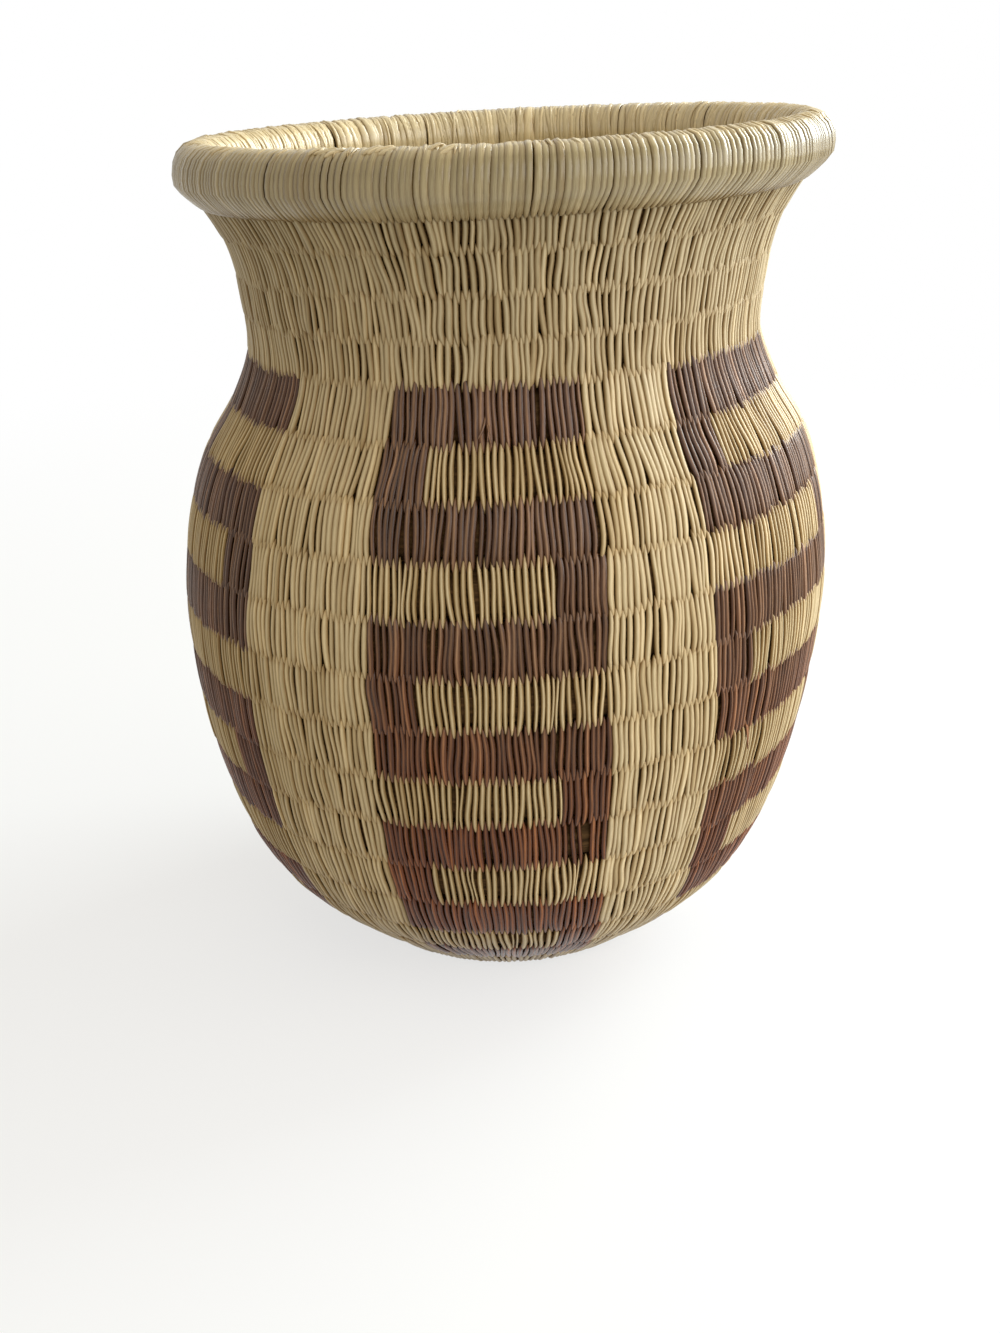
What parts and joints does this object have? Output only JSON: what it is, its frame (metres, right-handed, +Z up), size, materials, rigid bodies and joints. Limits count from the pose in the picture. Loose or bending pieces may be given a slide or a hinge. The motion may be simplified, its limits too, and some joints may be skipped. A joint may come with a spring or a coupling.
{
  "type": "woven vase",
  "caption": "Coiled vase with a round belly, a drawn-in neck and a rolled flaring rim, sewn row by row in cream and brown strands with upright meander bands.",
  "frame": {"origin": "centre of the flat underside, in the middle of the bounding box's bottom face", "axes": "+Z up along the vase's axis, from base to mouth; -Y is the front, and +X the side where the rim stands a little higher"},
  "size_m": [0.18, 0.18, 0.2299],
  "materials": {
    "grass_bundle": "matte",
    "cream_strand": "satin",
    "brown_strand": "satin"
  },
  "bodies": {
    "root": {"start_knot": "grass_bundle", "base_bundle_row_1": "grass_bundle", "base_bundle_row_2": "grass_bundle", "base_bundle_row_3": "grass_bundle", "base_bundle_row_4": "grass_bundle", "body_bundle_row_01": "grass_bundle", "body_bundle_row_02": "grass_bundle", "body_bundle_row_03": "grass_bundle", "body_bundle_row_04": "grass_bundle", "body_bundle_row_05": "grass_bundle", "body_bundle_row_06": "grass_bundle", "body_bundle_row_07": "grass_bundle", "body_bundle_row_08": "grass_bundle", "body_bundle_row_09": "grass_bundle", "body_bundle_row_10": "grass_bundle", "body_bundle_row_11": "grass_bundle", "body_bundle_row_12": "grass_bundle", "body_bundle_row_13": "grass_bundle", "neck_bundle_row_1": "grass_bundle", "neck_bundle_row_2": "grass_bundle", "neck_bundle_row_3": "grass_bundle", "neck_bundle_row_4": "grass_bundle", "rim_bundle": "grass_bundle", "base_stitching": "cream_strand", "brown_meander_1": "brown_strand", "brown_meander_2": "brown_strand", "brown_meander_3": "brown_strand", "brown_meander_4": "brown_strand", "brown_meander_5": "brown_strand", "brown_meander_6": "brown_strand", "cream_field_1": "cream_strand", "cream_field_2": "cream_strand", "cream_field_3": "cream_strand", "cream_field_4": "cream_strand", "cream_field_5": "cream_strand", "cream_field_6": "cream_strand", "neck_stitching": "cream_strand", "rim_stitching": "cream_strand", "inner_base_stitching": "cream_strand", "inner_body_stitching": "cream_strand", "inner_neck_stitching": "cream_strand"}
  },
  "joints": []
}
